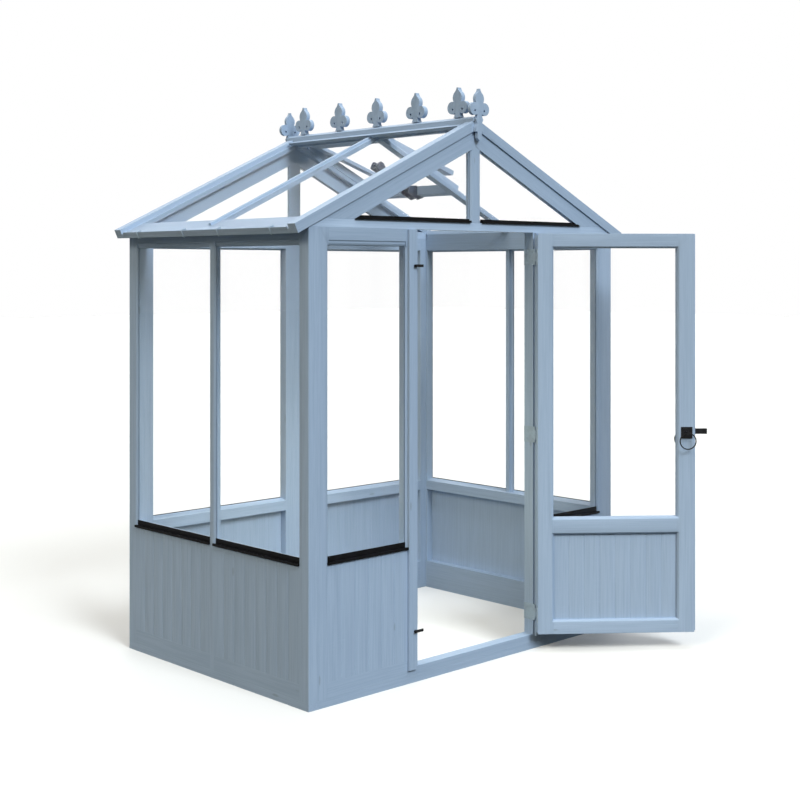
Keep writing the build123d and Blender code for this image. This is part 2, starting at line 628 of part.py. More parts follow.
def make_opener():
    """Vent opener: a bracket on the sill, a cylinder up the slope and two arms to the leaf."""
    y = (y_mid + y_back - WALL_T) / 2
    low, high = SILL_DEPTH
    bracket = block(sill_x - BRACKET_T, sill_x, y - BRACKET_W / 2, y + BRACKET_W / 2,
                    slope_z(sill_x, low), slope_z(sill_x, high))
    x0 = sill_x - OPENER_RUN
    z0 = slope_z(x0, OPENER_DEPTH)
    x1, z1 = sill_x - BRACKET_T + 1, slope_z(sill_x, low) + OPENER_R
    path = Vector(x1 - x0, 0, z1 - z0)
    tube = Plane(origin=(x0, y, z0), z_dir=path) * Cylinder(
        OPENER_R, path.length, align=(Align.CENTER, Align.CENTER, Align.MIN))
    cap = Plane(origin=(x0, y, z0), z_dir=path) * Cylinder(OPENER_R + ARM_T, ARM_W)
    opener = bracket + tube + cap

    along = VENT_REACH - VENT_STILE / 2
    tilt = radians(PITCH - VENT_RAISE)
    top_x = vent_hinge[0] + along * cos(tilt)
    top_z = vent_hinge[1] - along * sin(tilt)
    for side in (-1, 1):
        y_arm = y + side * (BRACKET_W / 2 - ARM_T / 2)
        half = ARM_W / 2
        opener += slab_xz([(x1 - half, z1), (x1 + half, z1),
                           (top_x + half, top_z - half * tan(tilt)),
                           (top_x - half, top_z + half * tan(tilt))],
                          y_arm - ARM_T / 2, y_arm + ARM_T / 2)
    add("vent_opener", opener)


def make_hinges():
    """Three butt hinges: the plates on the jamb carry the pins, the others turn on them."""
    for z in hinge_heights:
        z0, z1 = z - HINGE_H / 2, z + HINGE_H / 2
        third = HINGE_BARREL / 3
        plate = block(jamb_right - HINGE_T, jamb_right, lath_y, y_front + WALL_T - HINGE_PLAY,
                      z0, z1)
        dish = block(jamb_right - HINGE_T, jamb_right - HINGE_T + HINGE_DISH,
                     lath_y + HINGE_RIM, y_front + WALL_T - HINGE_RIM,
                     z0 + HINGE_RIM, z1 - HINGE_RIM)
        fixed = plate - dish + rod_z(hinge_x, hinge_y, HINGE_PIN, z - HINGE_BARREL / 2,
                                     z + HINGE_BARREL / 2)
        for low in (z - HINGE_BARREL / 2, z + third / 2):
            fixed += rod_z(hinge_x, hinge_y, HINGE_R, low, low + third)
            fixed += block(jamb_right - HINGE_T, jamb_right, hinge_y, lath_y, low, low + third)
        add("hinge_jamb_plates", fixed)

        turning = block(leaf_x1, leaf_x1 + HINGE_T, leaf_y0, leaf_y1 - HINGE_PLAY, z0, z1)
        turning -= block(leaf_x1 + HINGE_T - HINGE_DISH, leaf_x1 + HINGE_T, leaf_y0 + HINGE_RIM,
                         leaf_y1 - HINGE_RIM, z0 + HINGE_RIM, z1 - HINGE_RIM)
        low, high = z - third / 2 + HINGE_PLAY, z + third / 2 - HINGE_PLAY
        turning += block(leaf_x1, leaf_x1 + HINGE_T, hinge_y, leaf_y0, low, high)
        turning += rod_z(hinge_x, hinge_y, HINGE_R, low, high)
        turning -= rod_z(hinge_x, hinge_y, HINGE_PIN + HINGE_PIN_FIT, low, high)
        add("hinge_door_plates", swung(turning))


def make_door():
    """Leaf with two stiles, three rails, a boarded panel below and a pane above."""
    spindle_x = leaf_x0 + LATCH_EDGE
    x0, x1 = leaf_x0 + LEAF_LATCH_STILE, leaf_x1 - LEAF_HINGE_STILE
    top_z, bottom_z = leaf_z1 - LEAF_TOP_RAIL, leaf_z0 + LEAF_BOTTOM_RAIL
    mid_low, mid_high = LEAF_MID
    glass_y = (leaf_y0 + REBATE - GLASS_T, leaf_y0 + REBATE)
    panel_y = (leaf_y1 - LEAF_PANEL_IN - LEAF_PANEL_T, leaf_y1 - LEAF_PANEL_IN)

    cuts = []
    for (z0, z1), (y0, y1) in (((mid_high, top_z), glass_y), ((bottom_z, mid_low), panel_y)):
        cuts.append(block(x0 - GRIP, x1 + GRIP, y0, y1, z0 - GRIP, z1 + GRIP))
        for y, inward in ((leaf_y0, 1), (leaf_y1, -1)):
            outline = Plane(origin=((x0 + x1) / 2, y, (z0 + z1) / 2), x_dir=(1, 0, 0),
                            z_dir=(0, inward, 0)) * Rectangle(x1 - x0 + 2 * CHAMFER,
                                                              z1 - z0 + 2 * CHAMFER)
            cuts.append(extrude(outline, amount=CHAMFER, taper=45))

    latch_stile = block(leaf_x0, x0, leaf_y0, leaf_y1, leaf_z0, leaf_z1)
    hinge_stile = block(x1, leaf_x1, leaf_y0, leaf_y1, leaf_z0, leaf_z1)
    rails = [block(x0, x1, leaf_y0, leaf_y1, z0, z1)
             for z0, z1 in ((leaf_z0, bottom_z), (mid_low, mid_high), (top_z, leaf_z1))]
    frame = []
    for piece in (latch_stile, hinge_stile, *rails):
        for cut in cuts:
            piece -= cut
        frame.append(piece)
    lip_w, lip_t = LEAF_LIP
    frame[0] += block(leaf_x0 - lip_w, leaf_x0, leaf_y0, leaf_y0 + lip_t, leaf_z0, leaf_z1)
    frame[0] -= rod_y(spindle_x, LATCH_Z, SPINDLE_BORE, leaf_y0, leaf_y1)
    add("door_stiles", swung(frame[0]), swung(frame[1]))
    add("door_rails", *[swung(rail) for rail in frame[2:]])

    side = GRIP - GLASS_FIT
    panel = block(x0 - side, x1 + side, *panel_y, bottom_z - side, mid_low + side)
    count = round((x1 - x0) / BOARD_PITCH)
    for i in range(1, count):
        x = x0 + (x1 - x0) * i / count
        panel -= slab_xy([(x - VEE, panel_y[1]), (x, panel_y[1] - VEE), (x + VEE, panel_y[1])],
                         bottom_z - side, mid_low + side)
    add("door_panel", swung(panel))
    add("door_glass", swung(block(x0 - side, x1 + side, *glass_y, mid_high - side,
                                  top_z + side)))


def make_latch():
    """Ring latch: a plate on each face, and a spindle with its bar and two rings."""
    x = leaf_x0 + LATCH_EDGE
    half = LATCH_PLATE / 2
    for y0, y1 in ((leaf_y1, leaf_y1 + PLATE_T), (leaf_y0 - PLATE_T, leaf_y0)):
        plate = block(x - half, x + half, y0, y1, LATCH_Z - half, LATCH_Z + half)
        plate -= rod_y(x, LATCH_Z, SPINDLE_R + SPINDLE_FIT, y0, y1)
        add("latch_plates", swung(plate))

    y_inner, y_outer = leaf_y1 + EYE_OUT, leaf_y0 - EYE_OUT
    spindle = rod_y(x, LATCH_Z, SPINDLE_R, y_outer, y_inner)
    bar_y = leaf_y0 - BAR_CLEAR
    spindle += block(x - BAR_REACH, x + BAR_TAIL, bar_y - BAR_T, bar_y,
                     LATCH_Z - BAR_H / 2, LATCH_Z + BAR_H / 2)
    rings = []
    for y in (y_inner, y_outer):
        spindle += rod_y(x, LATCH_Z, EYE_R, y - EYE_L / 2, y + EYE_L / 2)
        seat = Pos(x, y, LATCH_Z - RING_R) * Rot(90, 0, 0) * Torus(RING_R, RING_WIRE + RING_FIT)
        spindle -= seat
        rings.append(Pos(x, y, LATCH_Z - RING_R) * Rot(90, 0, 0) * Torus(RING_R, RING_WIRE))
    add("latch_spindle", swung(spindle))
    add("latch_rings", *[swung(ring) for ring in rings])


def make_buttons():
    """Turn buttons on the latch-side lath, each on its screw."""
    x = jamb_left - LATH_SETBACK - BUTTON_INSET
    y1 = lath_y - BUTTON_CLEAR
    y0 = y1 - BUTTON_T
    heights = (THRESHOLD_TOP + BUTTON_LOW, WALL_TOP - BUTTON_HIGH)
    for z, name in zip(heights, ("lower_turn_button", "upper_turn_button")):
        button = block(x - BUTTON_TAIL, x + BUTTON_REACH, y0, y1, z - BUTTON_H / 2,
                       z + BUTTON_H / 2)
        button += rod_y(x, z, BUTTON_H / 2, y1, lath_y - HINGE_PLAY)
        button -= rod_y(x, z, SCREW_R + SCREW_FIT, y0, lath_y)
        add(name, button)
        head_r, head_h = SCREW_HEAD
        screw = rod_y(x, z, SCREW_R, y0 - HINGE_PLAY, lath_y)
        screw += rod_y(x, z, head_r, y0 - HINGE_PLAY - head_h, y0 - HINGE_PLAY)
        add("button_screws", screw)


make_sole()
make_walls()
make_door_trim()
make_gables()
make_roof()
make_ridge_cap()
make_vent()
make_opener()
make_finials()
make_hinges()
make_door()
make_latch()
make_buttons()

os.makedirs("parts", exist_ok=True)
for name, shapes in nodes.items():
    solids = [solid for shape in shapes for solid in shape.solids()]
    export_step(Compound(children=solids) if len(solids) > 1 else solids[0], f"parts/{name}.step")
    print(name, len(solids))
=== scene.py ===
"""Looks of a pale blue wooden greenhouse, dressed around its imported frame.

The timber gets softened arrises, its own grain direction for each member and
brushed paint. Glass, glazing strips, hinges, latch and turn buttons keep their
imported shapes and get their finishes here. The vent opener is dressed in full, and
glass clips and screws are added. Units are metres.
"""

import json
import math
import random

import bmesh
import bpy
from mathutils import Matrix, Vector

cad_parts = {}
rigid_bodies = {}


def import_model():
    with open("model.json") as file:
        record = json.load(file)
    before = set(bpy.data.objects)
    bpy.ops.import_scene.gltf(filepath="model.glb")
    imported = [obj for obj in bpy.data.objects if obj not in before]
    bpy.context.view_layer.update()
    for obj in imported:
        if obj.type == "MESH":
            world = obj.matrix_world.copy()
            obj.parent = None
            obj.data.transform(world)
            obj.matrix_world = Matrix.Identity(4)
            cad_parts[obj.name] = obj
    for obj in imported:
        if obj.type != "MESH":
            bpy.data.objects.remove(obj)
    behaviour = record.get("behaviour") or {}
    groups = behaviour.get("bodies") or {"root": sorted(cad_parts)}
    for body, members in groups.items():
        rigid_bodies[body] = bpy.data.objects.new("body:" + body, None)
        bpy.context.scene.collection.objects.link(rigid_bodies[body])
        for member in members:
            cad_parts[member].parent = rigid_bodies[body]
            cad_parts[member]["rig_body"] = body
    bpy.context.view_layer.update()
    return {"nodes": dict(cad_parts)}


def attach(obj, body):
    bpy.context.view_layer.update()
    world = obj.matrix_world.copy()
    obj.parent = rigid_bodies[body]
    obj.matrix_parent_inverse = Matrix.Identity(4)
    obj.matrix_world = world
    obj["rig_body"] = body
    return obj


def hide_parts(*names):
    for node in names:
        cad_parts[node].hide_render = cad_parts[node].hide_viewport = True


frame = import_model()

# Camera, as the photograph was taken: level, from the front left
EYE = (-4.265, -4.0445, 1.663)
HEADING = -43.57          # degrees from the back wall's direction
LENS = 62.5               # on a sensor 36 mm wide
FRAMING_SHIFT = -0.1625   # the horizon lies above the middle of the picture

# Greenhouse values that repeat those of the frame
ROOF_PITCH = math.radians(25.0)
VENT_RAISE = math.radians(7.2)
DOOR_OPEN = math.radians(140.0)
WALL_FACE = 0.916         # outer face of a side wall, from the middle
WALL_TOP = 1.827
EAVES_EDGE = -0.062       # outer edge of the eaves board, along the slope
EAVES_LIP_TOP = 0.027     # its top above the roof plane
PANE_TOP = 0.024
HINGE_AXIS = (0.363, -0.0424)
HINGE_HEIGHTS = (0.161, 0.9405, 1.720)
HINGE_FLOORS = (0.3643, 0.3617)     # pressed middles of the jamb plate and the leaf plate
LATCH_MIDDLE = (-0.2955, 0.951)
LATCH_FACES = (0.0105, -0.0405)     # outer faces of its two plates, with the door shut

# Vent opener on the right slope. Its outlines are (down the slope, above its axis).
OPENER_HEAD = (0.268, 0.870, 2.157)     # upper end of its tube, in the frame
TUBE_R = 0.0125
TUBE_LENGTH = 0.242
NECK_R = 0.45 * TUBE_R                  # thinner rod above the tube
NECK_LENGTH = 0.02
CHANNEL = (0.020, 0.017, 0.0025)        # half width, depth below the axis, thickness
CHANNEL_ENDS = (-0.01, TUBE_LENGTH + 0.02)
CHANNEL_RIM = 0.002                     # top of its sides above the axis
UPPER_LUG = [(-0.027, -0.020), (0.022, -0.020), (0.022, 0.010), (0.004, 0.022),
             (-0.018, 0.022), (-0.027, 0.012)]
LOWER_LUG = [(0.205, -0.034), (0.280, -0.034), (0.311, -0.006), (0.302, 0.012),
             (0.272, 0.020), (0.242, 0.026), (0.205, 0.006)]
LINK = ((0.150, -0.006), (0.230, 0.060))    # arms from the channel to the open leaf
LINK_HALF = 0.0065
LINK_FACES = (0.0005, 0.004)            # its inner and outer face, out of the lugs
LUG_T = 0.005
ROD_SIDES = 24
ROD_CHAMFER, ROD_CHAMFER_MOST = 0.25, 0.002         # of its radius, and at most
OPENER_ARRIS = 0.0006
OPENER_CREASE = math.radians(30)
PINS = ((-0.012, 0.006), (0.280, -0.010), *LINK)
PIN_R, PIN_SIDES, PIN_OUT = 0.0042, 14, 0.012       # PIN_OUT is its reach out of the channel

# Small fittings that only this script makes
CLIP_PLACES = (0.1275, 0.4645, 0.7065, 1.0405)  # along the house
CLIP_WIDTH = 0.007
CLIP_THICKNESS = 0.0012
CLIP_BEND, BEND_STEPS = 0.0012, 3
CLIP_GAP = 0.0002         # between a clip and what it holds
CLIP_REACH = 0.022        # how far it lies over the eaves board, from its edge
CLIP_STEP = (0.0075, 0.0055)        # where it steps down from the pane to the board's lip
CLIP_FOOT = 0.006         # how far it folds in under the board
HINGE_SCREW = (0.0034, 0.0007)      # radius and height of a head
LATCH_SCREW = (0.0030, 0.0012)
SCREW_SIDES = 18
SCREW_TOP = 0.82          # of the head's radius, as are the length and width of its cross
CROSS_LENGTH, CROSS_WIDTH = 1.25, 0.26
HINGE_SCREW_RISE = 0.018            # a hinge's screws lie this far above and below its middle
JAMB_SCREWS_Y = (-0.021, 0.009)
LEAF_SCREWS_Y = (-0.0215, -0.0085)
LATCH_SCREW_OFF = 0.019             # and a latch plate's this far beside its middle
SCREW_SEEDS = (3, 5, 7)             # jamb plates, leaf plates and latch plates

# Timber
ARRIS = 0.0007            # softening of each edge
BOARD_ARRIS = 0.0002      # and of a board's, whose vee joints are shallow
MID_RAIL_TOP = 0.577      # inner mid rails of the walls, in the frame
MID_RAIL_SEEN = (0.569, 0.559)  # and as they look: behind the glass, and at the inner face
FRONT_FACE, BACK_FACE = -0.0255, 1.2025
REBATE_SEEN = 0.014       # a wall's members behind the glass start within this depth
CAP_BLOCK_FOOT, CAP_BLOCK_FOOT_SEEN = 2.2871, 2.2800    # heights in the solid, and as it looks
CAP_FLANGE_FOOT, CAP_UNDERCUT = 2.2583, 0.046   # height of the flange's foot, and its reach
MULLION_Y = (0.560, 0.620)      # the side mullions lie between these
MULLION_CUT = (0.136, 0.512)    # heights between which they have no inner part
MULLION_LIP = 0.012             # depth of the part that stays
MULLION_WASTE = 0.03            # and of the cut behind it, more than the mullion's own
TIMBER_CREASE = math.radians(20)        # shading breaks at edges that turn more
NEAR = 1e-4               # heights closer than this are the same
FLAT = math.radians(0.5)  # faces that differ less are one
SHARP = math.radians(25)  # edges that turn more than this are softened
SOFT_STEPS, SOFT_ROUND = 2, 0.5         # faces to a softened edge, and how round it is
UPRIGHT = 0.9             # a direction that climbs more than this counts as upright
TONE_SPREAD = 0.5         # how far members differ in tone, from 0 to 1
SHIFT_SPREAD = 9          # how far apart the members' pieces of grain may lie

# Grain: scales along, across and out of a member, then detail, roughness and distortion
WANDER = ((3.0, 9.0, 9.0), 2.0, 0.5, 0.0)
FIGURE = ((2.2, 46.0, 46.0), 3.0, 0.55, 0.6)
FINE = ((9.0, 420.0, 420.0), 2.5, 0.6, 0.15)
BOLD = ((3.5, 150.0, 150.0), 2.0, 0.5, 0.25)
RIPPLE = ((150.0, 14.0, 14.0), 1.5, 0.5, 0.0)
FINE_SHARE, BOLD_SHARE = 0.35, 0.65     # of the streaks
STREAK_RELIEF, FIGURE_RELIEF = 0.5, 0.3
KNOT_CELLS = (4.0, 14.0, 14.0)
KNOT_SIZE, KNOTTED = 0.10, 0.35         # in cells, and the share of cells that have one

# Ramps: from low and high to low and high
RIPPLE_PATCHES = (0.52, 0.68, 0.0, 1.0)
STREAK_CONTRAST = (0.40, 0.60, 0.0, 1.0)
FIGURE_CONTRAST = (0.30, 0.70, 0.0, 1.0)
KNOT_FADE = (0.45, 1.0, 1.0, 0.0)
PAINT_ROUGHNESS = (0.0, 1.0, 0.62, 0.50)    # off and on the streaks
WEAR_CLOUDS = (0.42, 0.62, 0.0, 1.0)
FILM_ROUGHNESS = (0.4, 0.8, 0.0, 0.01)

# Finishes
LAYERS = {"Figure": 0.55, "Streaks": 0.42, "Ripple": 0.9, "Tone": 0.5, "Knots": 0.5}
PAINT_SPECULAR = 0.35
PAINT_RELIEF = (0.35, 0.0008)           # strength and depth
FITTING_RELIEF = (0.15, 0.0002)
CLOUD_DETAIL, SPECK_DETAIL = 4.0, 2.0
SPECK_FINENESS = 18.0                   # against the clouds
GLASS_FILM = (2.5, 3.0, 0.5)            # scale, detail and roughness of its clouds
GLASS_IOR = 1.45

# Studio
FLOOR_SIZE = 80
FLOOR_ROUGHNESS = 0.9
FLOOR_SEEN = (0.87, 0.87, 0.87, 1)
FLOOR_BOUNCE = (0.025, 0.025, 0.014, 1)
SKY_FILL = (0.165, 0.168, 0.145, 1)
SOFT_SHINE = 0.3          # how strongly the lamps above and behind show in gloss
LAMPS = (                 # name, direction, strength, colour, angle and share in gloss
    ("front_light", (0.08, 0.77, -0.63), 2.55, (0.92, 0.985, 1.02), 25, 1.0),
    ("side_light", (0.82, 0.12, -0.56), 1.22, (1.0, 0.90, 0.72), 25, 1.0),
    ("top_light", (0.05, 0.1, -1.0), 1.0, (0.97, 0.99, 1.03), 50, SOFT_SHINE),
    ("back_light", (-0.55, -0.60, -0.58), 0.7, (0.97, 0.99, 1.0), 40, SOFT_SHINE),
)
INNER_FILL = 11.0         # watts
FILL_COLOUR = (1.0, 0.93, 0.68)
FILL_RADIUS = 0.25
FILL_PLACE = (-0.35, 0.40, 0.80)
GLASS_SEEN = 0.02         # share of a pane that shows, the rest being see-through
GLASS_SHADE = 0.045       # share of a lamp's light that it holds back

# Colours, linear
PAINT = (0.335, 0.440, 0.600, 1)
PAINT_WORN = (0.300, 0.400, 0.545, 1)
PAINT_EDGE = (0.400, 0.515, 0.680, 1)
PAINT_KNOT = (0.225, 0.275, 0.345, 1)
BLACK_PLASTIC = (0.0035, 0.0035, 0.004, 1)
BLACK_SHEEN = (0.007, 0.007, 0.009, 1)
BLACK_METAL = (0.004, 0.004, 0.005, 1)
BLACK_METAL_RUBBED = (0.012, 0.012, 0.014, 1)
HINGE_GREY = (0.32, 0.42, 0.52, 1)
HINGE_DULL = (0.29, 0.37, 0.46, 1)
OPENER_GREY = (0.075, 0.100, 0.150, 1)
OPENER_DULL = (0.038, 0.050, 0.080, 1)
GLASS_TINT = (0.975, 0.992, 0.988, 1)
WHITE = (1, 1, 1, 1)

# Fittings: main and worn colour, roughness of both, metallic, wear scale, specular level
FITTINGS = {
    "glazing_strip": (BLACK_PLASTIC, BLACK_SHEEN, (0.50, 0.65), 0.0, 25.0, 0.05),
    "hinge_metal": (HINGE_GREY, HINGE_DULL, (0.42, 0.50), 0.15, 30.0, 0.5),
    "black_metal": (BLACK_METAL, BLACK_METAL_RUBBED, (0.38, 0.50), 0.0, 60.0, 0.15),
    "opener_metal": (OPENER_GREY, OPENER_DULL, (0.35, 0.50), 0.15, 60.0, 0.5),
}

# Grain of each painted piece: the direction that its members run in
TIMBER = {
    "side_soles": "along", "front_sole": "across", "back_sole": "across",
    "threshold": "across", "side_posts": "up", "side_rails": "along",
    "side_boards": "up", "back_posts": "up", "back_rails": "across",
    "back_boards": "up", "front_posts": "up", "front_rails": "across",
    "front_boards": "up", "door_laths": "up", "door_stop": "up",
    "gable_ties": "across", "gable_rafters": "slope", "king_posts": "up",
    "verge_rafters": "slope", "roof_bars": "slope", "eaves_boards": "along",
    "ridge_board": "along", "ridge_cap": "along", "vent_kerbs": "slope",
    "vent_sill": "along", "vent_leaf": "vent", "crest_finials": "up",
    "end_finials": "up", "door_stiles": "up", "door_rails": "leaf",
    "door_panel": "up",
}
GLASS = ("side_glass", "back_glass", "front_glass", "gable_glass", "roof_glass",
         "vent_glass", "door_glass")
STRIPS = ("side_strips", "back_strips", "front_strips", "gable_glazing_strips")
HINGES = ("hinge_jamb_plates", "hinge_door_plates")
BLACK_FITTINGS = ("latch_plates", "latch_spindle", "latch_rings", "button_screws",
                  "upper_turn_button", "lower_turn_button")


# Shader node groups

def group_tree(name, inputs, outputs):
    """An empty shader group with named sockets, and its input and output nodes."""
    tree = bpy.data.node_groups.new(name, "ShaderNodeTree")
    for label, kind, value in inputs:
        socket = tree.interface.new_socket(label, in_out="INPUT", socket_type=kind)
        if value is not None:
            socket.default_value = value
    for label, kind in outputs:
        tree.interface.new_socket(label, in_out="OUTPUT", socket_type=kind)
    return tree, tree.nodes.new("NodeGroupInput"), tree.nodes.new("NodeGroupOutput")


def math_node(tree, operation, a, b=None, clamp=False):
    node = tree.nodes.new("ShaderNodeMath")
    node.operation, node.use_clamp = operation, clamp
    for socket, value in zip(node.inputs, (a, b)):
        if value is None:
            continue
        if isinstance(value, (int, float)):
            socket.default_value = value
        else:
            tree.links.new(value, socket)
    return node.outputs[0]


def noise_node(tree, vector, scale, detail, roughness, distortion=0.0):
    node = tree.nodes.new("ShaderNodeTexNoise")
    node.inputs["Scale"].default_value = scale
    node.inputs["Detail"].default_value = detail
    node.inputs["Roughness"].default_value = roughness
    node.inputs["Distortion"].default_value = distortion
    tree.links.new(vector, node.inputs["Vector"])
    return node.outputs["Fac"]


def stretched(tree, vector, scale):
    node = tree.nodes.new("ShaderNodeMapping")
    node.vector_type = "POINT"
    node.inputs["Scale"].default_value = scale
    tree.links.new(vector, node.inputs["Vector"])
    return node.outputs["Vector"]


def ramp_node(tree, value, stops):
    node = tree.nodes.new("ShaderNodeMapRange")
    node.interpolation_type = "SMOOTHSTEP"
    low, high, out_low, out_high = stops
    for label, number in (("From Min", low), ("From Max", high),
                          ("To Min", out_low), ("To Max", out_high)):
        node.inputs[label].default_value = number
    tree.links.new(value, node.inputs["Value"])
    return node.outputs["Result"]


def mix_colour(tree, factor, a, b):
    node = tree.nodes.new("ShaderNodeMix")
    node.data_type = "RGBA"
    for socket, value in ((node.inputs[0], factor), (node.inputs[6], a), (node.inputs[7], b)):
        if isinstance(value, (int, float, tuple)):
            socket.default_value = value
        else:
            tree.links.new(value, socket)
    return node.outputs[2]


def grain_noise(tree, vector, kind):
    scales, detail, roughness, distortion = kind
    return noise_node(tree, stretched(tree, vector, scales), 1.0, detail, roughness, distortion)


def make_grain_group():
    """Wood grain under paint: streaks that run along the first coordinate.

    Streaks is 0 to 1 over fine lines, Figure is the slow change between them, Ripple
    is the faint cross marks that a planer leaves, and Height is all of them as relief.
    """
    tree, given, result = group_tree(
        "painted_grain",
        [("Vector", "NodeSocketVector", None),
         ("Fineness", "NodeSocketFloat", 1.0),
         ("Ripple Strength", "NodeSocketFloat", 1.0)],
        [("Streaks", "NodeSocketFloat"), ("Figure", "NodeSocketFloat"),
         ("Ripple", "NodeSocketFloat"), ("Height", "NodeSocketFloat")],
    )
    scaled = tree.nodes.new("ShaderNodeVectorMath")
    scaled.operation = "SCALE"
    tree.links.new(given.outputs["Vector"], scaled.inputs[0])
    tree.links.new(given.outputs["Fineness"], scaled.inputs["Scale"])
    vector = scaled.outputs[0]
    wander, figure, fine, bold, ripple = (
        grain_noise(tree, vector, kind) for kind in (WANDER, FIGURE, FINE, BOLD, RIPPLE))
    streaks = math_node(tree, "ADD", math_node(tree, "MULTIPLY", fine, FINE_SHARE),
                        math_node(tree, "MULTIPLY", bold, BOLD_SHARE))
    ripple_mask = ramp_node(tree, wander, RIPPLE_PATCHES)
    ripple = math_node(tree, "MULTIPLY", math_node(tree, "SUBTRACT", ripple, 0.5), ripple_mask)
    ripple = math_node(tree, "MULTIPLY", ripple, given.outputs["Ripple Strength"])
    lines = ramp_node(tree, streaks, STREAK_CONTRAST)
    slow = ramp_node(tree, figure, FIGURE_CONTRAST)
    height = math_node(tree, "ADD", math_node(tree, "MULTIPLY", lines, STREAK_RELIEF),
                       math_node(tree, "MULTIPLY", slow, FIGURE_RELIEF))
    height = math_node(tree, "ADD", height, ripple)
    for label, value in (("Streaks", lines), ("Figure", slow), ("Ripple", ripple),
                         ("Height", height)):
        tree.links.new(value, result.inputs[label])
    return tree


def make_wear_group():
    """Handling wear of a fitting: a cloudy mask, and fine specks as height."""
    tree, given, result = group_tree(
        "fitting_wear",
        [("Vector", "NodeSocketVector", None), ("Scale", "NodeSocketFloat", 60.0)],
        [("Mask", "NodeSocketFloat"), ("Height", "NodeSocketFloat")],
    )
    cloud = tree.nodes.new("ShaderNodeTexNoise")
    cloud.inputs["Detail"].default_value = CLOUD_DETAIL
    tree.links.new(given.outputs["Vector"], cloud.inputs["Vector"])
    tree.links.new(given.outputs["Scale"], cloud.inputs["Scale"])
    speck = tree.nodes.new("ShaderNodeTexNoise")
    speck.inputs["Detail"].default_value = SPECK_DETAIL
    tree.links.new(given.outputs["Vector"], speck.inputs["Vector"])
    tree.links.new(math_node(tree, "MULTIPLY", given.outputs["Scale"], SPECK_FINENESS),
                   speck.inputs["Scale"])
    tree.links.new(ramp_node(tree, cloud.outputs["Fac"], WEAR_CLOUDS), result.inputs["Mask"])
    tree.links.new(speck.outputs["Fac"], result.inputs["Height"])
    return tree


def make_knot_group():
    """Small knots that show through the paint: a mask that is 1 in a knot."""
    tree, given, result = group_tree(
        "knots",
        [("Vector", "NodeSocketVector", None), ("Size", "NodeSocketFloat", KNOT_SIZE),
         ("Share", "NodeSocketFloat", KNOTTED)],
        [("Mask", "NodeSocketFloat")],
    )
    cells = tree.nodes.new("ShaderNodeTexVoronoi")
    cells.inputs["Scale"].default_value = 1.0
    tree.links.new(stretched(tree, given.outputs["Vector"], KNOT_CELLS),
                   cells.inputs["Vector"])
    lot = tree.nodes.new("ShaderNodeSeparateColor")
    tree.links.new(cells.outputs["Color"], lot.inputs["Color"])
    chosen = math_node(tree, "LESS_THAN", lot.outputs["Red"], given.outputs["Share"])
    inside = math_node(tree, "DIVIDE", cells.outputs["Distance"], given.outputs["Size"])
    spot = ramp_node(tree, inside, KNOT_FADE)
    tree.links.new(math_node(tree, "MULTIPLY", spot, chosen), result.inputs["Mask"])
    return tree


GRAIN_GROUP = make_grain_group()
KNOT_GROUP = make_knot_group()
WEAR_GROUP = make_wear_group()


# Materials

def new_material(name):
    material = bpy.data.materials.new(name)
    material.use_nodes = True
    tree = material.node_tree
    return material, tree, tree.nodes["Principled BSDF"]


def placed_group(tree, group, vector, **values):
    node = tree.nodes.new("ShaderNodeGroup")
    node.node_tree = group
    tree.links.new(vector, node.inputs["Vector"])
    for label, value in values.items():
        node.inputs[label.replace("_", " ")].default_value = value
    return node


def bump_into(tree, shader, height, strength, distance):
    bump = tree.nodes.new("ShaderNodeBump")
    bump.inputs["Strength"].default_value = strength
    bump.inputs["Distance"].default_value = distance
    tree.links.new(height, bump.inputs["Height"])
    tree.links.new(bump.outputs["Normal"], shader.inputs["Normal"])


def attribute_node(tree, name):
    node = tree.nodes.new("ShaderNodeAttribute")
    node.attribute_name = name
    return node


def painted_timber(name, fineness, ripple):
    """Brushed exterior paint over softwood, its grain along the member that it is on."""
    material, tree, shader = new_material(name)
    along_grain = attribute_node(tree, "grain").outputs["Vector"]
    grain = placed_group(tree, GRAIN_GROUP, along_grain, Fineness=fineness,
                         Ripple_Strength=ripple)
    knots = placed_group(tree, KNOT_GROUP, along_grain, Size=KNOT_SIZE, Share=KNOTTED)
    masks = (("Figure", grain.outputs["Figure"], PAINT_WORN),
             ("Streaks", grain.outputs["Streaks"], PAINT_EDGE),
             ("Ripple", grain.outputs["Ripple"], PAINT_EDGE),
             ("Tone", attribute_node(tree, "tone").outputs["Fac"], PAINT_WORN),
             ("Knots", knots.outputs["Mask"], PAINT_KNOT))
    shade = PAINT
    for layer, mask, colour in masks:
        share = math_node(tree, "MULTIPLY", mask, LAYERS[layer], True)
        shade = mix_colour(tree, share, shade, colour)
    tree.links.new(shade, shader.inputs["Base Color"])
    tree.links.new(ramp_node(tree, grain.outputs["Streaks"], PAINT_ROUGHNESS),
                   shader.inputs["Roughness"])
    shader.inputs["Specular IOR Level"].default_value = PAINT_SPECULAR
    bump_into(tree, shader, grain.outputs["Height"], *PAINT_RELIEF)
    return material


def fitting_finish(name):
    """Plastic or metal of a fitting: two tones in a cloudy mask and a fine texture."""
    colour, worn, roughness, metallic, scale, specular = FITTINGS[name]
    material, tree, shader = new_material(name)
    place = tree.nodes.new("ShaderNodeTexCoord").outputs["Object"]
    wear = placed_group(tree, WEAR_GROUP, place, Scale=scale)
    tree.links.new(mix_colour(tree, wear.outputs["Mask"], colour, worn),
                   shader.inputs["Base Color"])
    tree.links.new(ramp_node(tree, wear.outputs["Mask"], (0.0, 1.0, *roughness)),
                   shader.inputs["Roughness"])
    shader.inputs["Metallic"].default_value = metallic
    shader.inputs["Specular IOR Level"].default_value = specular
    bump_into(tree, shader, wear.outputs["Height"], *FITTING_RELIEF)
    return material


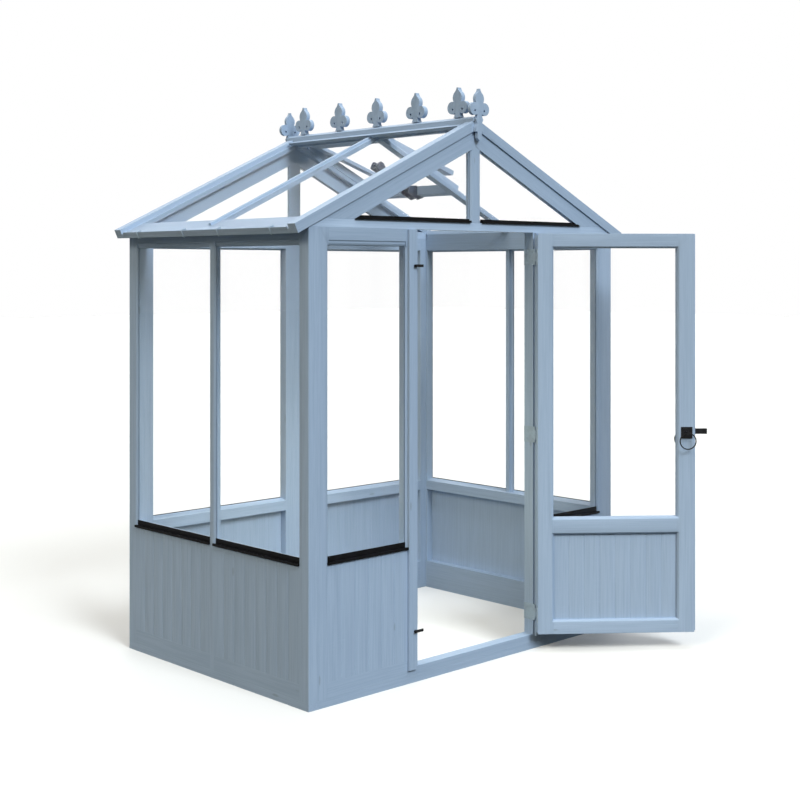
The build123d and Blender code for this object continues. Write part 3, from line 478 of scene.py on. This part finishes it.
def clear_glass():
    """Float glass: clear, with a faint dusty film, and light passes it to the inside."""
    material, tree, shader = new_material("clear_glass")
    place = tree.nodes.new("ShaderNodeTexCoord").outputs["Object"]
    film = noise_node(tree, place, *GLASS_FILM)
    tree.links.new(ramp_node(tree, film, FILM_ROUGHNESS), shader.inputs["Roughness"])
    shader.inputs["Base Color"].default_value = GLASS_TINT
    shader.inputs["Transmission Weight"].default_value = 1.0
    shader.inputs["IOR"].default_value = GLASS_IOR
    light = tree.nodes.new("ShaderNodeLightPath")
    share = ramp_node(tree, light.outputs["Is Shadow Ray"], (0.0, 1.0, GLASS_SEEN, GLASS_SHADE))
    tree.links.new(share, shader.inputs["Alpha"])
    return material


# Timber

def grain_axes(kind, centre):
    """Along the grain, across it and out of it, for a member whose middle is at centre."""
    side = 1.0 if centre.x >= 0 else -1.0
    pitch = ROOF_PITCH - (VENT_RAISE if kind == "vent" else 0.0)
    down_slope = Vector((math.cos(pitch), 0, -side * math.sin(pitch)))
    along = {
        "up": Vector((0, 0, 1)),
        "along": Vector((0, 1, 0)),
        "across": Vector((1, 0, 0)),
        "slope": down_slope,
        "vent": down_slope,
        "leaf": Vector((math.cos(DOOR_OPEN), math.sin(DOOR_OPEN), 0)),
    }[kind]
    helper = Vector((0, 0, 1)) if abs(along.z) < UPRIGHT else Vector((1, 0, 0))
    across = along.cross(helper).normalized()
    return along, across, along.cross(across)


def loose_solids(bm):
    """The separate solids of a mesh, each as a set of vertices, in a fixed order."""
    found, seen = [], set()
    for start in bm.verts:
        if start in seen:
            continue
        solid, queue = [], [start]
        seen.add(start)
        while queue:
            vert = queue.pop()
            solid.append(vert)
            for edge in vert.link_edges:
                other = edge.other_vert(vert)
                if other not in seen:
                    seen.add(other)
                    queue.append(other)
        found.append(solid)
    return found


def clean_copy(node):
    """A node's mesh with its triangles merged into whole faces, as a bmesh."""
    bm = bmesh.new()
    bm.from_mesh(frame["nodes"][node].data)
    bmesh.ops.remove_doubles(bm, verts=bm.verts, dist=NEAR / 10)
    bmesh.ops.dissolve_limit(bm, angle_limit=FLAT, verts=bm.verts, edges=bm.edges)
    return bm


def lower_mid_rails(bm):
    """Slopes the top of a wall's inner mid rails down from the glass to the inside."""
    at_glass, inside = MID_RAIL_SEEN
    for vert in bm.verts:
        if abs(vert.co.z - MID_RAIL_TOP) < NEAR:
            depth = min(WALL_FACE - abs(vert.co.x), vert.co.y - FRONT_FACE, BACK_FACE - vert.co.y)
            vert.co.z = at_glass if depth < REBATE_SEEN else inside


def shape_ridge_cap(bm):
    """Gives the cap a taller block over narrower, undercut flanges."""
    for vert in bm.verts:
        if abs(vert.co.z - CAP_BLOCK_FOOT) < NEAR:
            vert.co.z = CAP_BLOCK_FOOT_SEEN
        elif abs(vert.co.z - CAP_FLANGE_FOOT) < NEAR:
            vert.co.x = math.copysign(CAP_UNDERCUT, vert.co.x)


def box_corners(low, high):
    """Corners and outward faces of a box between two corners."""
    corners = [(x, y, z) for z in (low[2], high[2]) for y in (low[1], high[1])
               for x in (low[0], high[0])]
    faces = [(0, 2, 3, 1), (4, 5, 7, 6), (0, 1, 5, 4), (2, 6, 7, 3), (0, 4, 6, 2), (1, 3, 7, 5)]
    return corners, faces


def trim_mullions(bm):
    """Takes the inner part of the side mullions away between the bottom and mid rails."""
    rest, cutter = bpy.data.meshes.new("rest"), bpy.data.meshes.new("cutter")
    bm.to_mesh(rest)
    verts, faces = [], []
    inner = WALL_FACE - MULLION_LIP
    for low, high in ((-inner, -inner + MULLION_WASTE), (inner - MULLION_WASTE, inner)):
        corners, sides = box_corners((low, MULLION_Y[0], MULLION_CUT[0]),
                                     (high, MULLION_Y[1], MULLION_CUT[1]))
        faces += [tuple(i + len(verts) for i in side) for side in sides]
        verts += corners
    cutter.from_pydata(verts, [], faces)
    posts, boxes = (bpy.data.objects.new(mesh.name, mesh) for mesh in (rest, cutter))
    for piece in (posts, boxes):
        bpy.context.scene.collection.objects.link(piece)
    cut = posts.modifiers.new("cut", "BOOLEAN")
    cut.operation, cut.object, cut.solver = "DIFFERENCE", boxes, "EXACT"
    seen = posts.evaluated_get(bpy.context.evaluated_depsgraph_get())
    result = bpy.data.meshes.new_from_object(seen)
    bm.clear()
    bm.from_mesh(result)
    for piece in (posts, boxes):
        bpy.data.objects.remove(piece)
    for mesh in (rest, cutter, result):
        bpy.data.meshes.remove(mesh)


def soften(bm, arris):
    """Rounds each sharp edge, solid by solid, so that a small feature limits only its own."""
    for solid in loose_solids(bm):
        live = [v for v in solid if v.is_valid]
        edges = {e for v in live for e in v.link_edges
                 if len(e.link_faces) == 2 and e.calc_face_angle(0) > SHARP}
        bmesh.ops.bevel(bm, geom=list(edges), offset=arris, offset_type="OFFSET",
                        segments=SOFT_STEPS, profile=SOFT_ROUND, affect="EDGES",
                        clamp_overlap=True)


def write_grain(bm, kind, seed):
    """Stores each member's own grain coordinates and tone, so that no two look alike."""
    grain = bm.loops.layers.float_vector.new("grain")
    tone = bm.loops.layers.float.new("tone")
    draw = random.Random(seed)
    for solid in loose_solids(bm):
        centre = sum((v.co for v in solid), Vector()) / len(solid)
        along, across, out = grain_axes(kind, centre)
        shift = Vector([draw.uniform(0, SHIFT_SPREAD) for _ in range(3)])
        member_tone = draw.uniform(0, TONE_SPREAD)
        for face in {f for v in solid for f in v.link_faces}:
            for loop in face.loops:
                place = loop.vert.co
                loop[grain] = Vector((place.dot(along), place.dot(across),
                                      place.dot(out))) + shift
                loop[tone] = member_tone


def stand_in(bm, name, node, material, crease):
    """Makes a piece of a bmesh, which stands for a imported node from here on."""
    mesh = bpy.data.meshes.new(name)
    bm.to_mesh(mesh)
    bm.free()
    mesh.polygons.foreach_set("use_smooth", [True] * len(mesh.polygons))
    mesh.set_sharp_from_angle(angle=crease)
    mesh.materials.append(material)
    piece = bpy.data.objects.new(name, mesh)
    bpy.context.scene.collection.objects.link(piece)
    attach(piece, frame["nodes"][node]["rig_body"])
    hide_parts(node)


def dress_timber(node, material, seed):
    """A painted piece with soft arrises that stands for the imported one."""
    bm = clean_copy(node)
    if node in ("side_rails", "back_rails", "front_rails"):
        lower_mid_rails(bm)
    if node == "side_posts":
        trim_mullions(bm)
    if node == "ridge_cap":
        shape_ridge_cap(bm)
    soften(bm, BOARD_ARRIS if node.endswith("_boards") else ARRIS)
    write_grain(bm, TIMBER[node], seed)
    stand_in(bm, node + "_painted", node, material, TIMBER_CREASE)


def finish_nodes(nodes, material):
    """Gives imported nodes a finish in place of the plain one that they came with."""
    for node in nodes:
        data = frame["nodes"][node].data
        data.materials.clear()
        data.materials.append(material)


# Clips and screws

def nodes_tree(name, inputs):
    """An empty Geometry Nodes tree with named inputs, and its input and output nodes."""
    tree = bpy.data.node_groups.new(name, "GeometryNodeTree")
    tree.is_modifier = True
    for label, kind, value in [("Geometry", "NodeSocketGeometry", None)] + inputs:
        socket = tree.interface.new_socket(label, in_out="INPUT", socket_type=kind)
        if value is not None:
            socket.default_value = value
    tree.interface.new_socket("Geometry", in_out="OUTPUT", socket_type="NodeSocketGeometry")
    return tree, tree.nodes.new("NodeGroupInput"), tree.nodes.new("NodeGroupOutput")


def wired(tree, kind, sources, **settings):
    """A Geometry Nodes node with its inputs linked, or set to plain values."""
    node = tree.nodes.new(kind)
    for label, value in settings.items():
        setattr(node, label, value)
    for label, value in sources.items():
        if isinstance(value, bpy.types.NodeSocket):
            tree.links.new(value, node.inputs[label])
        else:
            node.inputs[label].default_value = value
    return node


def finished(tree, geometry, given, result):
    """Ends a tree: real geometry in place of instances, and its finish."""
    real = wired(tree, "GeometryNodeRealizeInstances", {"Geometry": geometry})
    coated = wired(tree, "GeometryNodeSetMaterial", {"Geometry": real.outputs["Geometry"],
                                                     "Material": given.outputs["Finish"]})
    tree.links.new(coated.outputs["Geometry"], result.inputs["Geometry"])


def make_clip_tree():
    """Flat metal strip bent along each line that it is given."""
    tree, given, result = nodes_tree("bent_clips", [
        ("Width", "NodeSocketFloat", CLIP_WIDTH), ("Thickness", "NodeSocketFloat", CLIP_THICKNESS),
        ("Bend Radius", "NodeSocketFloat", CLIP_BEND), ("Finish", "NodeSocketMaterial", None)])
    lines = wired(tree, "GeometryNodeMeshToCurve", {"Mesh": given.outputs["Geometry"]})
    bent = wired(tree, "GeometryNodeFilletCurve", {
        "Curve": lines.outputs["Curve"], "Count": BEND_STEPS,
        "Radius": given.outputs["Bend Radius"], "Limit Radius": True}, mode="POLY")
    section = wired(tree, "GeometryNodeCurvePrimitiveQuadrilateral",
                    {"Width": given.outputs["Thickness"], "Height": given.outputs["Width"]})
    strip = wired(tree, "GeometryNodeCurveToMesh", {"Curve": bent.outputs["Curve"],
                                                    "Profile Curve": section.outputs["Curve"],
                                                    "Fill Caps": True})
    finished(tree, strip.outputs["Mesh"], given, result)
    return tree


def make_screw_tree():
    """Countersunk cross-head screws, one on each point, each turned as it happened to stop."""
    tree, given, result = nodes_tree("cross_head_screws", [
        ("Head Radius", "NodeSocketFloat", HINGE_SCREW[0]),
        ("Head Height", "NodeSocketFloat", HINGE_SCREW[1]),
        ("Seed", "NodeSocketInt", 1), ("Finish", "NodeSocketMaterial", None)])
    radius, height = given.outputs["Head Radius"], given.outputs["Head Height"]

    def times(value, factor):
        node = wired(tree, "ShaderNodeMath", {}, operation="MULTIPLY")
        tree.links.new(value, node.inputs[0])
        node.inputs[1].default_value = factor
        return node.outputs[0]

    head = wired(tree, "GeometryNodeMeshCone", {"Vertices": SCREW_SIDES, "Radius Bottom": radius,
                                                "Radius Top": times(radius, SCREW_TOP),
                                                "Depth": height})
    cuts = []
    for long_axis in ("X", "Y"):
        size = wired(tree, "ShaderNodeCombineXYZ", {
            "X": times(radius, CROSS_LENGTH if long_axis == "X" else CROSS_WIDTH),
            "Y": times(radius, CROSS_WIDTH if long_axis == "X" else CROSS_LENGTH),
            "Z": height})
        bar = wired(tree, "GeometryNodeMeshCube", {"Size": size.outputs["Vector"]})
        lift = wired(tree, "ShaderNodeCombineXYZ", {"Z": height})
        raised = wired(tree, "GeometryNodeTransform", {"Geometry": bar.outputs["Mesh"],
                                                       "Translation": lift.outputs["Vector"]})
        cuts.append(raised.outputs["Geometry"])
    cross = wired(tree, "GeometryNodeMeshBoolean", {"Mesh 1": head.outputs["Mesh"]},
                  operation="DIFFERENCE")
    for cut in cuts:
        tree.links.new(cut, cross.inputs["Mesh 2"])
    facing = wired(tree, "GeometryNodeInputNamedAttribute", {"Name": "facing"},
                   data_type="FLOAT_VECTOR")
    aligned = wired(tree, "FunctionNodeAlignRotationToVector",
                    {"Vector": facing.outputs["Attribute"]}, axis="Z")
    placed = wired(tree, "GeometryNodeInstanceOnPoints", {
        "Points": given.outputs["Geometry"], "Instance": cross.outputs["Mesh"],
        "Rotation": aligned.outputs["Rotation"]})
    chance = wired(tree, "FunctionNodeRandomValue", {"Seed": given.outputs["Seed"]},
                   data_type="FLOAT")
    spin = wired(tree, "ShaderNodeCombineXYZ", {"Z": times(chance.outputs[1], math.pi)})
    turned = wired(tree, "GeometryNodeRotateInstances", {
        "Instances": placed.outputs["Instances"], "Rotation": spin.outputs["Vector"]})
    finished(tree, turned.outputs["Instances"], given, result)
    return tree


def grown(name, mesh, tree, values):
    """Runs a Geometry Nodes tree over a mesh, and keeps the result as a plain piece."""
    piece = bpy.data.objects.new(name, mesh)
    bpy.context.scene.collection.objects.link(piece)
    modifier = piece.modifiers.new("nodes", "NODES")
    modifier.node_group = tree
    for item in tree.interface.items_tree:
        if item.item_type == "SOCKET" and item.in_out == "INPUT" and item.name in values:
            modifier[item.identifier] = values[item.name]
    seen = piece.evaluated_get(bpy.context.evaluated_depsgraph_get())
    result = bpy.data.meshes.new_from_object(seen)
    piece.modifiers.remove(modifier)
    result.name = name
    piece.data = result
    return piece


def swung(x, y, z=0.0):
    """A place or a direction on the shut door, turned to where the door stands open."""
    c, s = math.cos(DOOR_OPEN), math.sin(DOOR_OPEN)
    return Vector((x * c - y * s, x * s + y * c, z))


def on_door(x, y, z):
    axis = Vector((*HINGE_AXIS, 0))
    return axis + swung(x - axis.x, y - axis.y, z)


def slope_point(side, y, along, depth):
    """A place on a roof slope: along from the wall's face, depth above the roof plane."""
    c, s = math.cos(ROOF_PITCH), math.sin(ROOF_PITCH)
    return Vector((side * (WALL_FACE - along * c + depth * s), y,
                   WALL_TOP + along * s + depth * c))


def add_glass_clips(finish):
    """Clips that fold over the eaves board's edge and hold each pane's foot."""
    off = CLIP_THICKNESS / 2 + CLIP_GAP
    step_in, step_out = CLIP_STEP
    line = [(EAVES_EDGE + CLIP_REACH, PANE_TOP + off), (EAVES_EDGE + step_in, PANE_TOP + off),
            (EAVES_EDGE + step_out, EAVES_LIP_TOP + off), (EAVES_EDGE - off, EAVES_LIP_TOP + off),
            (EAVES_EDGE - off, -off), (EAVES_EDGE + CLIP_FOOT, -off)]
    verts, edges = [], []
    for side in (-1, 1):
        for y in CLIP_PLACES:
            first = len(verts)
            verts += [slope_point(side, y, along, depth) for along, depth in line]
            edges += [(first + i, first + i + 1) for i in range(len(line) - 1)]
    mesh = bpy.data.meshes.new("clip_lines")
    mesh.from_pydata(verts, edges, [])
    clips = grown("glass_clips", mesh, make_clip_tree(), {"Finish": finish})
    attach(clips, frame["nodes"]["eaves_boards"]["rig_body"])


def add_screws(name, tree, places, head, seed, finish, node):
    """Screws at places, each a point and the direction that its head faces."""
    mesh = bpy.data.meshes.new(name + "_places")
    mesh.from_pydata([place for place, _ in places], [], [])
    facing = mesh.attributes.new("facing", "FLOAT_VECTOR", "POINT")
    facing.data.foreach_set("vector", [c for _, way in places for c in way])
    radius, height = head
    screws = grown(name, mesh, tree, {"Head Radius": radius, "Head Height": height,
                                      "Seed": seed, "Finish": finish})
    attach(screws, frame["nodes"][node]["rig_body"])


def add_hinge_and_latch_screws(hinge_finish, latch_finish):
    tree = make_screw_tree()
    jamb_x, leaf_x = HINGE_FLOORS
    jamb_seed, leaf_seed, latch_seed = SCREW_SEEDS
    jamb, leaf = [], []
    for middle in HINGE_HEIGHTS:
        for z in (middle - HINGE_SCREW_RISE, middle + HINGE_SCREW_RISE):
            jamb += [(Vector((jamb_x, y, z)), Vector((-1, 0, 0))) for y in JAMB_SCREWS_Y]
            leaf += [(on_door(leaf_x, y, z), swung(1, 0)) for y in LEAF_SCREWS_Y]
    add_screws("hinge_jamb_screws", tree, jamb, HINGE_SCREW, jamb_seed, hinge_finish,
               "hinge_jamb_plates")
    add_screws("hinge_door_screws", tree, leaf, HINGE_SCREW, leaf_seed, hinge_finish,
               "hinge_door_plates")
    x, z = LATCH_MIDDLE
    offsets = (-LATCH_SCREW_OFF, LATCH_SCREW_OFF)
    latch = []
    for y, way in zip(LATCH_FACES, (1, -1)):
        latch += [(on_door(x + dx, y, z + dz), swung(0, way)) for dx in offsets for dz in offsets]
    add_screws("latch_plate_screws", tree, latch, LATCH_SCREW, latch_seed, latch_finish,
               "latch_plates")


# Vent opener

def opener_point(along, above, y):
    """A place on the opener: along the slope from its head, above its axis, and across it."""
    c, s = math.cos(ROOF_PITCH), math.sin(ROOF_PITCH)
    x0, y0, z0 = OPENER_HEAD
    return Vector((x0 + along * c + above * s, y0 + y, z0 - along * s + above * c))


def plate(bm, outline, y0, y1):
    """Closed plate with an outline of (along, above) points, between y0 and y1."""
    rings = [[bm.verts.new(opener_point(along, above, y)) for along, above in outline]
             for y in (y0, y1)]
    count = len(outline)
    faces = [rings[0], rings[1][::-1]]
    faces += [(rings[0][i], rings[1][i], rings[1][(i + 1) % count], rings[0][(i + 1) % count])
              for i in range(count)]
    for face in faces:
        bm.faces.new(face)


def rod(bm, start, end, radius, sides=ROD_SIDES):
    """Round rod with chamfered ends between two places, each given for opener_point."""
    start, end = opener_point(*start), opener_point(*end)
    line = end - start
    turn = line.to_track_quat("Z", "Y").to_matrix().to_4x4()
    bevel = min(ROD_CHAMFER * radius, ROD_CHAMFER_MOST)
    rings = []
    for height, r in ((0, radius - bevel), (bevel, radius), (line.length - bevel, radius),
                      (line.length, radius - bevel)):
        ring = [Vector((r * math.cos(2 * math.pi * i / sides),
                        r * math.sin(2 * math.pi * i / sides), height)) for i in range(sides)]
        rings.append([bm.verts.new(start + turn @ co) for co in ring])
    bm.faces.new(rings[0][::-1])
    bm.faces.new(rings[-1])
    for low, high in zip(rings[:-1], rings[1:]):
        for i in range(sides):
            j = (i + 1) % sides
            bm.faces.new((low[i], low[j], high[j], high[i]))


def dress_opener(finish):
    """Vent opener: tube in a channel, lugs with pins at both ends, two arms to the leaf."""
    bm = bmesh.new()
    half, below, thick = CHANNEL
    head, foot = CHANNEL_ENDS
    floor = thick - below
    plate(bm, [(head, -below), (foot, -below), (foot, floor), (head, floor)], -half, half)
    (a0, h0), (a1, h1) = LINK
    along, above = Vector((a1 - a0, h1 - h0)).normalized() * LINK_HALF
    arm = [(a0 - above, h0 + along), (a0 + above, h0 - along),
           (a1 + above, h1 - along), (a1 - above, h1 + along)]
    wall = [(head, floor), (foot, floor), (foot, CHANNEL_RIM), (head, CHANNEL_RIM)]
    link_in, link_out = (half + LUG_T + face for face in LINK_FACES)
    for side in (-1, 1):
        for outline, near, far in ((wall, half, half - thick), (UPPER_LUG, half, half + LUG_T),
                                   (LOWER_LUG, half, half + LUG_T), (arm, link_in, link_out)):
            plate(bm, outline, *sorted((side * near, side * far)))
    rod(bm, (0, 0, 0), (TUBE_LENGTH, 0, 0), TUBE_R)
    rod(bm, (-NECK_LENGTH, 0, 0), (0, 0, 0), NECK_R)
    for along, above in PINS:
        rod(bm, (along, above, -half - PIN_OUT), (along, above, half + PIN_OUT), PIN_R, PIN_SIDES)
    bmesh.ops.recalc_face_normals(bm, faces=bm.faces)
    soften(bm, OPENER_ARRIS)
    stand_in(bm, "vent_opener_dressed", "vent_opener", finish, OPENER_CREASE)


timber_paint = painted_timber("painted_timber", fineness=1.0, ripple=1.0)
for index, name in enumerate(sorted(TIMBER)):
    dress_timber(name, timber_paint, index)

strip_plastic = fitting_finish("glazing_strip")
hinge_metal = fitting_finish("hinge_metal")
black_metal = fitting_finish("black_metal")
opener_metal = fitting_finish("opener_metal")
finish_nodes(GLASS, clear_glass())
finish_nodes(STRIPS, strip_plastic)
finish_nodes(HINGES, hinge_metal)
finish_nodes(BLACK_FITTINGS, black_metal)
dress_opener(opener_metal)
add_glass_clips(hinge_metal)
add_hinge_and_latch_screws(hinge_metal, black_metal)


# Stage

def white_to_camera(tree, light_path):
    """1 for rays that show the background: straight, in a reflection or through glass."""
    seen = math_node(tree, "MAXIMUM", light_path.outputs["Is Camera Ray"],
                     light_path.outputs["Is Glossy Ray"])
    return math_node(tree, "MAXIMUM", seen, light_path.outputs["Is Transmission Ray"])


def make_floor():
    bpy.ops.mesh.primitive_plane_add(size=FLOOR_SIZE, location=(0, 0, 0))
    floor = bpy.context.object
    floor.name = "studio_floor"
    material, tree, shader = new_material("studio_floor")
    path = tree.nodes.new("ShaderNodeLightPath")
    tree.links.new(mix_colour(tree, white_to_camera(tree, path), FLOOR_BOUNCE, FLOOR_SEEN),
                   shader.inputs["Base Color"])
    shader.inputs["Roughness"].default_value = FLOOR_ROUGHNESS
    shader.inputs["Specular IOR Level"].default_value = 0.0
    floor.data.materials.append(material)


def make_world():
    world = bpy.data.worlds.new("studio")
    bpy.context.scene.world = world
    world.use_nodes = True
    tree = world.node_tree
    path = tree.nodes.new("ShaderNodeLightPath")
    colour = mix_colour(tree, white_to_camera(tree, path), SKY_FILL, WHITE)
    tree.links.new(colour, tree.nodes["Background"].inputs["Color"])
    tree.nodes["Background"].inputs["Strength"].default_value = 1.0


def make_sun(name, towards, strength, colour, spread, shine):
    lamp = bpy.data.lights.new(name, "SUN")
    lamp.specular_factor = shine
    lamp.energy, lamp.color, lamp.angle = strength, colour, math.radians(spread)
    sun = bpy.data.objects.new(name, lamp)
    sun.rotation_euler = Vector(towards).to_track_quat("-Z", "Y").to_euler()
    bpy.context.scene.collection.objects.link(sun)


def make_inner_fill():
    """Soft lamp inside the house, for the light that its pale surroundings throw in there."""
    lamp = bpy.data.lights.new("inner_fill", "POINT")
    lamp.energy, lamp.color, lamp.shadow_soft_size = INNER_FILL, FILL_COLOUR, FILL_RADIUS
    fill = bpy.data.objects.new("inner_fill", lamp)
    fill.location = FILL_PLACE
    fill.visible_camera = fill.visible_glossy = fill.visible_transmission = False
    bpy.context.scene.collection.objects.link(fill)


def make_camera():
    camera = bpy.data.objects.new("camera", bpy.data.cameras.new("camera"))
    camera.location = EYE
    camera.rotation_euler = (math.radians(90), 0, math.radians(HEADING))
    camera.data.lens = LENS
    camera.data.shift_y = FRAMING_SHIFT
    bpy.context.scene.collection.objects.link(camera)
    bpy.context.scene.camera = camera


make_floor()
make_world()
for values in LAMPS:
    make_sun(*values)
make_inner_fill()
make_camera()
bpy.context.scene.view_settings.view_transform = "Standard"
